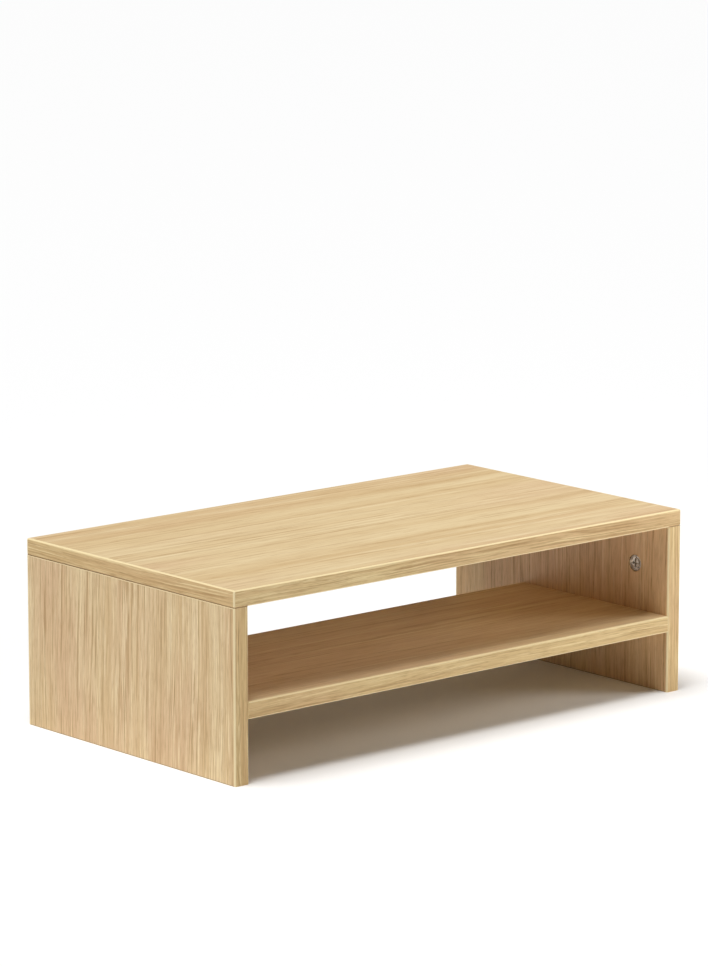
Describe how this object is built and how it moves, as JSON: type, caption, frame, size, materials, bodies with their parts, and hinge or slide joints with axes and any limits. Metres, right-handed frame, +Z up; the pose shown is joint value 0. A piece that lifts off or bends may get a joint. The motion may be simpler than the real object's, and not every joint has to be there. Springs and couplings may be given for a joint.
{
  "type": "monitor riser stand",
  "caption": "Two-tier desk riser of light oak board: a flat top on full-depth sides with an open-backed shelf between them, held by cam locks.",
  "frame": {"origin": "on the floor, at the middle of the stand's footprint", "axes": "+X to the stand's right as seen from its front, +Y from front to back, +Z up"},
  "size_m": [0.42, 0.23, 0.135],
  "materials": {
    "oak_melamine": "satin printed oak melamine, fine straight grain",
    "oak_edge_band": "satin printed oak edge band",
    "particle_board": "raw pressed wood chips",
    "zinc_cam": "die-cast zinc, dull nickel",
    "zinc_plated_steel": "bright zinc plate",
    "beech": "raw turned beech"
  },
  "bodies": {
    "stand": {"top_core": "particle_board", "left_side_core": "particle_board", "right_side_core": "particle_board", "shelf_core": "particle_board", "top_upper_face": "oak_melamine", "top_lower_face": "oak_melamine", "shelf_upper_face": "oak_melamine", "shelf_lower_face": "oak_melamine", "left_side_outer_face": "oak_melamine", "left_side_inner_face": "oak_melamine", "left_side_top_edge": "oak_edge_band", "left_side_front_edge": "oak_edge_band", "left_side_back_edge": "oak_edge_band", "left_side_bottom_edge": "oak_edge_band", "right_side_outer_face": "oak_melamine", "right_side_inner_face": "oak_melamine", "right_side_top_edge": "oak_edge_band", "right_side_front_edge": "oak_edge_band", "right_side_back_edge": "oak_edge_band", "right_side_bottom_edge": "oak_edge_band", "top_front_edge": "oak_edge_band", "top_back_edge": "oak_edge_band", "top_left_edge": "oak_edge_band", "top_right_edge": "oak_edge_band", "shelf_front_edge": "oak_edge_band", "shelf_back_edge": "oak_edge_band", "top_cam_bolts": "zinc_plated_steel", "shelf_cam_bolts": "zinc_plated_steel", "top_dowels": "beech", "shelf_dowels": "beech"},
    "top_cam_front_left": {"top_cam_front_left": "zinc_cam"},
    "top_cam_front_right": {"top_cam_front_right": "zinc_cam"},
    "top_cam_back_left": {"top_cam_back_left": "zinc_cam"},
    "top_cam_back_right": {"top_cam_back_right": "zinc_cam"},
    "shelf_cam_front_left": {"shelf_cam_front_left": "zinc_cam"},
    "shelf_cam_front_right": {"shelf_cam_front_right": "zinc_cam"},
    "shelf_cam_back_left": {"shelf_cam_back_left": "zinc_cam"},
    "shelf_cam_back_right": {"shelf_cam_back_right": "zinc_cam"}
  },
  "joints": [
    {"name": "top_cam_front_left_turn", "type": "hinge", "parent": "stand", "child": "top_cam_front_left", "pos_m": [-0.204, -0.08, 0.091], "axis": [1, 0, 0], "range_deg": [0, 180]},
    {"name": "top_cam_front_right_turn", "type": "hinge", "parent": "stand", "child": "top_cam_front_right", "pos_m": [0.204, -0.08, 0.091], "axis": [-1, 0, 0], "range_deg": [0, 180]},
    {"name": "top_cam_back_left_turn", "type": "hinge", "parent": "stand", "child": "top_cam_back_left", "pos_m": [-0.204, 0.08, 0.091], "axis": [1, 0, 0], "range_deg": [0, 180]},
    {"name": "top_cam_back_right_turn", "type": "hinge", "parent": "stand", "child": "top_cam_back_right", "pos_m": [0.204, 0.08, 0.091], "axis": [-1, 0, 0], "range_deg": [0, 180]},
    {"name": "shelf_cam_front_left_turn", "type": "hinge", "parent": "stand", "child": "shelf_cam_front_left", "pos_m": [-0.166, -0.08, 0.051], "axis": [0, 0, -1], "range_deg": [0, 180]},
    {"name": "shelf_cam_front_right_turn", "type": "hinge", "parent": "stand", "child": "shelf_cam_front_right", "pos_m": [0.166, -0.08, 0.051], "axis": [0, 0, -1], "range_deg": [0, 180]},
    {"name": "shelf_cam_back_left_turn", "type": "hinge", "parent": "stand", "child": "shelf_cam_back_left", "pos_m": [-0.166, 0.005, 0.051], "axis": [0, 0, -1], "range_deg": [0, 180]},
    {"name": "shelf_cam_back_right_turn", "type": "hinge", "parent": "stand", "child": "shelf_cam_back_right", "pos_m": [0.166, 0.005, 0.051], "axis": [0, 0, -1], "range_deg": [0, 180]}
  ]
}
